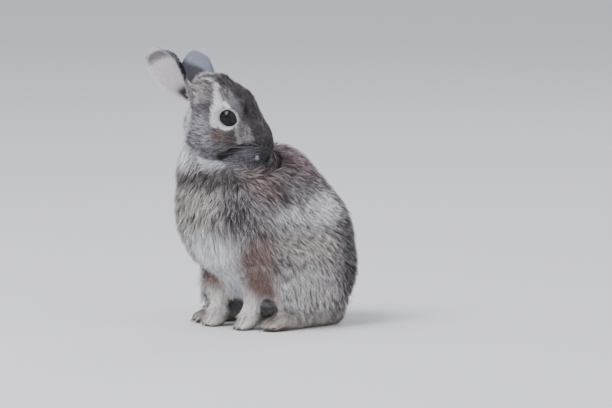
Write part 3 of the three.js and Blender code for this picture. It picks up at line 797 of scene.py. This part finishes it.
# ---- coat
# Thousands of thin tufts, each a narrow tapering blade that leaves the skin, bends over and
# lies along the body with its neighbours, slate at its root and banded or dark at its tip.
BODY_FLOW, THIGH_FLOW = (0, 0.55, -0.8), (0, 0.3, -1)
LEG_FLOW, FOOT_FLOW = (0, -0.12, -1), (0, -1, -0.1)
skin_mesh.calc_loop_triangles()
corners = read(skin_mesh.loop_triangles, "vertices", 3, np.int64)
loops = read(skin_mesh.loop_triangles, "loops", 3, np.int64)
unwrap = read(skin_mesh.uv_layers["OFBake"].data, "uv", 2)
skin_normals = normals_of(skin_mesh)


def lie_of_coat(points, normals, part, kind, ear_place):
    """The way the hair lies at each point of the skin."""
    body, head = in_body(points), in_head(points)
    on = by_name(part)
    one = np.ones(len(points))
    flow = np.outer(one, BODY_FLOW)
    turned_back = -0.12 + 0.35 * fade(55, 95, body[:, 2])
    on_chest = np.column_stack([body[:, 0] * 0.006, turned_back, -one])
    flow = lean(flow, on_chest, fade(-84, -56, body[:, 1]))
    flow = lean(flow, THIGH_FLOW, on["thigh"] * 0.8)
    flow = lean(flow, LEG_FLOW, on["foreleg"])
    flow = lean(flow, FOOT_FLOW, on["forefoot"] + on["hindfoot"])
    flow = lean(flow, unit(body - (0, 38, 34)) + (0, 0.3, -0.3), on["tail"])
    low = fade(-26, -4, head[:, 2])
    over = np.column_stack([np.sign(head[:, 0]) * 0.12, one, 0.12 - 0.75 * low])
    for side in (1, -1):
        away = head - (side * (EYE_SPREAD + 3), 0, 0)
        over = over + unit(away) * (1.6 * fade(8, 15, lengths(away)))[:, None]
    flow = lean(flow, over @ head_turn.T, on["head"])
    for side, shape in EARS.items():
        here = (kind == EAR) & (np.sign(head[:, 0]) == side)
        up, _, sidelong = ear_frame(shape)
        flow[here] = (up + np.outer(1.1 * ear_place[here, 1] ** 3, sidelong)) @ head_turn.T
    swirl = np.column_stack([speckle(points, 9, seed) - 0.5 for seed in (11, 12, 13)])
    flow = unit(flow) + swirl * np.where(kind == EAR, 0.2, 0.8)[:, None]
    return unit(laid_flat(flow, normals))


def sprout(per_square_mm):
    """Roots strewn over the skin: the triangle of each and its place in it."""
    wanted = doubled_areas(points[corners]) / 2 * per_square_mm
    count = np.floor(wanted + rng.random(len(wanted))).astype(int)
    picked = np.repeat(np.arange(len(corners)), count)
    return picked, rng.dirichlet((1, 1, 1), len(picked))


def at_roots(values, picked, share):
    return (values[corners[picked]] * share[:, :, None]).sum(axis=1)


# Nothing grows on the soles, the nose pad and the edges of the lids, or inside the sockets.
SOLE_HEIGHT, SOCKET_RADIUS = 1.2, 8.1
BARE_NOSE_RADII = (4.7, 3.2, 3.7)
middles = points[corners].mean(axis=1)
middle_part = part[corners].mean(axis=1)
middle_kind = kind[corners[:, 0]]
middle_place = ear_place[corners[:, 0]]
middle_depth = coat_depth(middles, middle_part)
on_face = in_head(middles)
to_eye = lengths(both_sides(on_face) - (EYE_SPREAD, 0, 0))
in_nose = lengths((on_face - NOSE_AT) / BARE_NOSE_RADII) < 1
bare = (in_body(middles)[:, 2] < SOLE_HEIGHT) | (middle_kind == NOSE) | in_nose
bare |= (middle_kind == BODY) & (to_eye < SOCKET_RADIUS) & (middle_part[:, 0] > 0.5)
bare |= (middle_kind == LID) & (middle_place[:, 0] < BARE_RINGS)


def width_for(depth):
    return np.where(depth > 5, 0.36, 0.19 + 0.035 * depth)


def length_for(depth):
    return 2 * depth + 1.6


# Roots to a square millimetre. The right ear has a denser fringe on its back edge.
COVER, EAR_COVER, LID_COVER, FRINGE_COVER = 9.6, 6, 9, 12
LOCKS, EAR_LOCKS, LID_LOCKS = 5, 1.2, 2
density = COVER / (width_for(middle_depth) * length_for(middle_depth))
density[middle_kind == EAR] = EAR_COVER
density[middle_kind == LID] = LID_COVER
near_edge = (middle_place[:, 1] > 0.45) & (middle_place[:, 2] < 0.5)
density[(middle_kind == EAR) & (on_face[:, 0] < 0) & near_edge] = FRINGE_COVER
density[bare] = 0
lock_density = LOCKS / length_for(middle_depth)
lock_density[middle_kind == EAR] = EAR_LOCKS
lock_density[middle_kind == LID] = LID_LOCKS
lock_triangle, lock_share = sprout(np.where(bare, 0, lock_density))
lock_root = at_roots(points, lock_triangle, lock_share)
picked, share = sprout(density)
roots = at_roots(points, picked, share)
normals = unit(at_roots(skin_normals, picked, share))
root_part = at_roots(part, picked, share)
root_kind = middle_kind[picked]
root_ear = at_roots(ear_place, picked, share)
root_uv = (unwrap[loops[picked]] * share[:, :, None]).sum(axis=1)
lock = nearest(roots, lock_root)
count = len(roots)

# Each lock has its own lean, length, lift, tone and share of dark hairs.
lock_count = len(lock_root)
lock_turn = rng.normal(0, 0.22, lock_count)[lock]
lock_length, lock_lift, lock_tone, lock_dark = (
    rng.uniform(*span, lock_count)[lock]
    for span in ((0.8, 1.15), (0.75, 1.12), (0.8, 1.18), (-0.5, 0.5))
)
flow = lie_of_coat(roots, normals, root_part, root_kind, root_ear)
sideways = np.cross(normals, flow)
flow = flow * np.cos(lock_turn)[:, None] + sideways * np.sin(lock_turn)[:, None]
sideways = np.cross(normals, flow)

# How far the tips stand off the skin: further along the bridge of the head and in the fringe
# of the right ear, less between the toes.
EAR_COAT, LID_RIM_COAT = 0.55, 0.35
BRIDGE_GAIN, FRINGE_GAIN, FURROW_LOSS = 2, 3.4, 0.55
at_head, body_at = in_head(roots), in_body(roots)
on = by_name(root_part)
on_ear = root_kind == EAR
up_ear, across_ear, inner = root_ear.T
depth = np.where(on_ear, EAR_COAT, coat_depth(roots, root_part))
depth[root_kind == LID] = LID_RIM_COAT
bridge_height = at_head[:, 2] + 0.45 * np.maximum(0, -20 - at_head[:, 1])
bridge = on["head"] * (root_kind == BODY) * ease(-4, 8, bridge_height)
bridge *= fade(7, 13, np.abs(at_head[:, 0])) * ease(-42, -34, at_head[:, 1])
depth += BRIDGE_GAIN * bridge
fringe = on_ear * (inner < 0.5) * (at_head[:, 0] < 0) * ease(0.45, 0.85, across_ear)
fringe *= ease(0.34, 0.5, up_ear) * fade(0.75, 0.95, up_ear)
depth += FRINGE_GAIN * fringe
depth *= 1 - FURROW_LOSS * between_toes(body_at, on)
rise = depth * lock_lift * rng.uniform(0.85, 1.1, count)

# The tufts under the chest are shorter, and those of the belly hang free.
EAR_TUFT, EAR_TIP_TUFT, FRINGE_LENGTH = 3.2, 1.6, 2.4
LID_TUFT_SHARE, OVERHANG_LOSS = 0.75, 0.4
length = np.where(on_ear, EAR_TUFT, length_for(depth)) * lock_length
length *= rng.uniform(0.85, 1.12, count)
length = np.where(on_ear & (up_ear > 0.9), EAR_TIP_TUFT, length)
length += FRINGE_LENGTH * fringe
length[root_kind == LID] *= LID_TUFT_SHARE
overhang = fade(58, 68, body_at[:, 2]) * fade(-60, -45, body_at[:, 1]) * on["trunk"]
hanging = on["trunk"] * fade(36, 50, body_at[:, 2])
length *= 1 - OVERHANG_LOSS * overhang * (1 - hanging)
run = np.sqrt(np.maximum(length**2 - rise**2, 0.5))
width = width_for(depth) * rng.uniform(0.7, 1.3, count)

# Pale and dark hairs lie in locks, in drifts, and in waves across the flanks.
WAVE_WAY, WAVE_LENGTH = (0, 0.55, -0.83), 6.8
WAVE_SHARE, DRIFT_SHARE = 0.42, 0.35
shown = roots + flow * (run * 0.6)[:, None] + normals * (rise * 0.6)[:, None]
marked_at = np.where(root_kind[:, None] == BODY, shown, roots)
look = markings(marked_at, root_part, root_kind, root_ear)
pale, dark, share_dark = look[:, :3], look[:, 3:6], look[:, 6]
mixed = np.minimum(share_dark * 2.8, 1)
along_wave = in_body(shown) @ WAVE_WAY
waves = np.sin(2 * pi * along_wave / WAVE_LENGTH + 8 * speckle(roots, 16, 22))
wavy = (on["trunk"] + on["thigh"]) * ease(-70, -40, body_at[:, 1])
drift = speckle(roots, 6, 21) - 0.5
ticked = on["trunk"] + on["thigh"] + on["neck"]
sway = (0.55 + 0.35 * ticked) * lock_dark + DRIFT_SHARE * drift + WAVE_SHARE * waves * wavy
chance = share_dark + sway * mixed
is_dark = (rng.random(count) < chance)[:, None]
tone = (lock_tone ** (1 + 0.5 * ticked) * rng.uniform(0.85, 1.15, count))[:, None]
band = np.where(is_dark, dark * 1.6 + pale * 0.05, pale) * tone
dark_tip = is_dark | (rng.random(count) < 0.3 * mixed)[:, None]
tip = np.where(dark_tip, dark * 0.8 + pale * 0.06, pale * 1.06 * tone)
whiteness = fade(0.1, 0.32, share_dark)
root_tone = 0.85 - 0.45 * ease(1.5, 5, depth) * (1 - 0.8 * whiteness)
slate = lean(pale, dark, np.maximum(share_dark, 0.4)) * root_tone[:, None]
hair = np.stack([slate, slate * 0.4 + band * 0.6, band, tip], axis=1)

# Each tuft has four levels from root to tip. It rises at its root, bends over, and leans
# towards the middle of its lock.
MOST_GATHER = 2.2
levels = np.array([0, 0.34, 0.7, 1.0])
taper = np.array([1, 0.95, 0.6, 0])
lift = 1 - (1 - levels) ** 1.9
gather = laid_flat(lock_root[lock] - roots, normals)
gather *= np.minimum(1, MOST_GATHER / np.maximum(lengths(gather), 1e-6))[:, None]
bow = rng.normal(0, 0.04, count) * length
spine = (
    (roots - normals * 0.4)[:, None]
    + flow[:, None] * (run[:, None] * levels)[..., None]
    + normals[:, None] * (rise[:, None] * lift)[..., None]
    + sideways[:, None] * (bow[:, None] * levels**2)[..., None]
    + gather[:, None] * (0.6 * levels**1.4)[:, None]
)

# A tip that stands too far off a rounded part or sinks into a hollow is brought back, and none
# goes far out of the frame's box or into the ground.
MOST_SINK, MOST_STAND = -2, 6
BOX_MARGIN, GROUND_GAP = 2.5, 0.12
hull = BVHTree.FromPolygons(points.tolist(), corners.tolist())
for index in np.flatnonzero(root_kind == BODY):
    foot, outwards, _, _ = hull.find_nearest(Vector(spine[index, 3]))
    outwards = np.array(outwards)
    excess = (spine[index, 3] - foot) @ outwards - rise[index]
    droop = np.outer(levels**2, outwards) * np.clip(excess, MOST_SINK, MOST_STAND)
    spine[index] -= droop * (1 - 0.85 * hanging[index])
lowest, highest = np.array(cad_box) * 1000
lowest += (-BOX_MARGIN, -BOX_MARGIN, GROUND_GAP)
spine = np.clip(spine, lowest, highest + BOX_MARGIN)
roll = rng.uniform(-0.5, 0.5, count)[:, None]
blade = sideways * np.cos(roll) + normals * np.sin(roll)
half = (width[:, None] * taper)[..., None] * blade[:, None] / 2
along = unit(spine[:, -1] - spine[:, 1])
along_normal = np.sum(normals * along, axis=1)[:, None]
shade = unit(normals - along * (along_normal * 0.8) + blade * roll * 0.4 - gather * 0.12)

# The blades as triangles, and their corners in a patch of the map. The short ones leave out
# the second level.
LONG_COAT = 3.2
LONG_BLADE = [(0, 3, 1), (0, 2, 3), (2, 5, 3), (2, 4, 5), (4, 6, 5)]
SHORT_BLADE = [(0, 3, 1), (0, 2, 3), (2, 4, 3)]
PATCH = 0.003
strand = np.array([(0, 0), (1, 0), (0, 0.34), (1, 0.34), (0, 0.7), (1, 0.7), (0.5, 1)])
long_tuft = depth > LONG_COAT


def coat_piece(name, index, is_long):
    """Joins the chosen tufts into one mesh with its colours, shading and map."""
    kept = [0, 1, 2, 3] if is_long else [0, 2, 3]
    pattern, spread = (LONG_BLADE, strand) if is_long else (SHORT_BLADE, strand[[0, 1, 4, 5, 6]])
    ring = []
    for k in kept[:-1]:
        ring += [spine[index, k] - half[index, k], spine[index, k] + half[index, k]]
    ring.append(spine[index, 3])
    size = len(ring)
    triangles = np.array(pattern) + np.arange(len(index))[:, None, None] * size
    mesh = bpy.data.meshes.new(name)
    mesh.vertices.add(len(index) * size)
    mesh.vertices.foreach_set("co", (np.stack(ring, axis=1) * 0.001).ravel())
    mesh.loops.add(triangles.size)
    mesh.loops.foreach_set("vertex_index", triangles.ravel().astype(np.int32))
    mesh.polygons.add(triangles.size // 3)
    mesh.polygons.foreach_set("loop_start", np.arange(0, triangles.size, 3, dtype=np.int32))
    mesh.update(calc_edges=True)
    store_colour(mesh, hair[index][:, np.repeat(kept, 2)[:-1]].reshape(-1, 3))
    patch = root_uv[index, None] + (spread - (0.5, 0.5)) * PATCH
    layer = mesh.uv_layers.new(name="OFBake")
    layer.data.foreach_set("uv", patch.reshape(-1, 2)[triangles.ravel()].ravel())
    mesh.shade_smooth()
    mesh.normals_split_custom_set_from_vertices(np.repeat(shade[index], size, axis=0))
    return into_scene(name, mesh)


fur = Finish("coat", Roughness=0.6, Specular_IOR_Level=0.35)
fur.feed("Base Color", fur.node("Attribute", {"attribute_name": "coat"}))

# The coat is one piece for each region of the body, of no more tufts than a piece may hold.
CHEST_BACK, RUMP_FRONT, THROAT_HEIGHT, FLANK_HEIGHT = -62, 20, 100, 60
MOST_LONG, MOST_SHORT = 39000, 65000
strongest = np.argmax(root_part, axis=1)
head_hair = (strongest == PARTS.index("head")) & ~on_ear
leg_hair = np.isin(strongest, [PARTS.index(name) for name in LEG_COATS])
rest_of_body = ~(on_ear | head_hair | leg_hair)
chest = rest_of_body & (body_at[:, 1] < CHEST_BACK)
rump = rest_of_body & ~chest & (body_at[:, 1] > RUMP_FRONT)
flank = rest_of_body & ~chest & ~rump
on_left = body_at[:, 0] > 0
throat_high, flank_high = body_at[:, 2] >= THROAT_HEIGHT, body_at[:, 2] >= FLANK_HEIGHT
regions = {
    "coat_ears": on_ear,
    "coat_face": head_hair,
    "coat_legs": leg_hair,
    "coat_chest": chest & ~throat_high,
    "coat_throat": chest & throat_high,
    "coat_left_flank": flank & on_left & flank_high,
    "coat_left_thigh": flank & on_left & ~flank_high,
    "coat_right_flank": flank & ~on_left & flank_high,
    "coat_right_thigh": flank & ~on_left & ~flank_high,
    "coat_rump": rump,
}
for name, members in regions.items():
    for suffix, is_long, most in (("", True, MOST_LONG), ("_short", False, MOST_SHORT)):
        index = np.flatnonzero(members & (long_tuft == is_long))
        for number in range(0, len(index), most):
            label = name + suffix + (f"_{number // most + 1}" if len(index) > most else "")
            tufts = coat_piece(label, index[number : number + most], is_long)
            fur.on(tufts)
            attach(tufts, "root")

# ---- eyes
# Wet dark eyeballs, with a round pupil in a brown iris under a clear cornea. Each is a ball
# that bulges a little at the front, and sits in its socket behind the rims of the lids.
PUPIL, IRIS, EYE_RIM = (0.005, 0.0055, 0.008), (0.011, 0.0075, 0.007), (0.005, 0.004, 0.0035)
CORNEA_BULGE = 0.035
wet = Finish(
    "eyeball", Roughness=0.5, Specular_IOR_Level=0,
    Coat_Weight=1, Coat_Roughness=0.03, Coat_IOR=1.33,
)
wet.feed("Base Color", wet.node("Attribute", {"attribute_name": "coat"}))
for name, side in (("left", 1), ("right", -1)):
    bpy.ops.mesh.primitive_uv_sphere_add(
        segments=96, ring_count=64, radius=EYE_RADIUS * 0.001, location=(0, 0, 0)
    )
    ball = bpy.context.object
    ball.name = "eyeball_" + name
    bulb = points_of(ball.data)
    tilt = np.degrees(np.arccos(np.clip(bulb[:, 0] * side / EYE_RADIUS, -1, 1)))
    iris = lean(np.tile(IRIS, (len(bulb), 1)), PUPIL, fade(26, 30, tilt))
    iris *= (0.7 + 0.6 * speckle(bulb, 0.8, 41))[:, None]
    store_colour(ball.data, lean(iris, EYE_RIM, ease(44, 56, tilt)))
    bulb *= (1 + CORNEA_BULGE * fade(10, 50, tilt))[:, None]
    place(ball.data, from_head(bulb + (side * EYE_SPREAD, 0, 0)))
    bpy.ops.object.shade_smooth()
    wet.on(ball)
    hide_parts("eye_" + name)
    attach(ball, "root")


# ---- whiskers
# Stiff tapering hairs that grow in rows from the pads beside the nose and over the eyes, sweep
# back and droop a little.
def round_hair(knots, radii, sides):
    """A closed tapering tube along a line of points: its points and faces."""
    knots = np.array(knots)
    ways = unit(np.gradient(knots, axis=0))
    first = unit(np.cross(ways, (0.31, 0.17, 0.93)))
    second = np.cross(ways, first)
    turns = np.arange(sides) * 2 * pi / sides
    ring = np.cos(turns)[:, None] * first[:, None] + np.sin(turns)[:, None] * second[:, None]
    tube = (knots[:, None] + ring * np.array(radii)[:, None, None]).reshape(-1, 3)
    ends = [tuple(reversed(range(sides))), tuple(range(len(tube) - sides, len(tube)))]
    return tube, belts(len(knots), sides) + ends


# A side has three rows of four beside the nose, the back ones longer, and two over the eye.
WHISKER_RADIUS, WHISKER_TIP = 0.085, 0.02
SHORTEST, LONGER_BY, BROW_LENGTH = 22, 4.5, 11
ROW_HEIGHT, MIDDLE_ROW, BROW = 2.6, -10.5, 5
on_head = in_head(points)
surface = np.flatnonzero((kind == BODY) & (part[:, 0] > 0.5))
steps = np.linspace(0, 1, 9)
hairs = []
for side in (1, -1):
    seats = [
        (side * (9.5 + 0.9 * i), -35.5 + 3.1 * i, -13 + ROW_HEIGHT * row - 0.2 * i, i)
        for row in range(3)
        for i in range(4)
    ]
    seats += [(side * 15, 1 + 3 * i, 12.5, BROW) for i in range(2)]
    for x, y, z, far in seats:
        near = surface[np.argmin(lengths(on_head[surface] - (x, y, z)))]
        usual = BROW_LENGTH if far == BROW else SHORTEST + LONGER_BY * far
        reach = rng.uniform(0.85, 1.1) * usual
        upward = 0.12 * (z - MIDDLE_ROW) / ROW_HEIGHT - 0.06
        way = np.array((side * 0.75, 0.3 + 0.12 * far, upward)) + rng.normal(0, 0.06, 3)
        way /= np.linalg.norm(way)
        line = on_head[near] - way * 0.8 + np.outer(steps, way) * reach
        line += np.outer(steps**2, (0, 0.22, -0.2)) * reach
        radii = WHISKER_RADIUS * (1 - steps) ** 0.8 + WHISKER_TIP
        hairs.append(round_hair(from_head(line), radii, 5))
whiskers = into_scene("whiskers", joined("whiskers", hairs))
Finish("whisker_hair", Base_Color=(0.34, 0.31, 0.3, 1), Roughness=0.4).on(whiskers)
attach(whiskers, "root")

# ---- claws
# Dark horn, one to each toe: a spike that curves down out of the fur to the ground. The outer
# toes of each foot stand a little further back.
CLAW_RADIUS, CLAW_TIP, CLAW_GROUND = 0.95, 0.08, 0.5
OUTER_TOE_BACK = 2.5
# How far each foot is aside, its toes apart, its tips forward, its roots up and back.
FORE_CLAWS, HIND_CLAWS = (19, 5.8, -70.2, 3.4, 5.5), (41, 7.2, -61.4, 3.9, 7)
claws = []
for spread, pitch, ahead, high, reach in (FORE_CLAWS, HIND_CLAWS):
    for side in (1, -1):
        for toe in (-1, -1 / 3, 1 / 3, 1):
            back = OUTER_TOE_BACK if abs(toe) == 1 else 0
            tip = np.array((side * spread + toe * pitch, ahead + back, 0))
            rising = CLAW_GROUND + (high - CLAW_GROUND) * (1 - steps**2)
            bent = np.column_stack([steps * 0, (1 - steps) * reach, rising])
            radii = CLAW_RADIUS * (1 - steps) ** 0.7 + CLAW_TIP
            claws.append(round_hair(tip + home + bent, radii, 8))
claw_set = into_scene("claws", joined("claws", claws))
Finish("claw_horn", Base_Color=(0.05, 0.04, 0.034, 1), Roughness=0.35).on(claw_set)
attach(claw_set, "root")
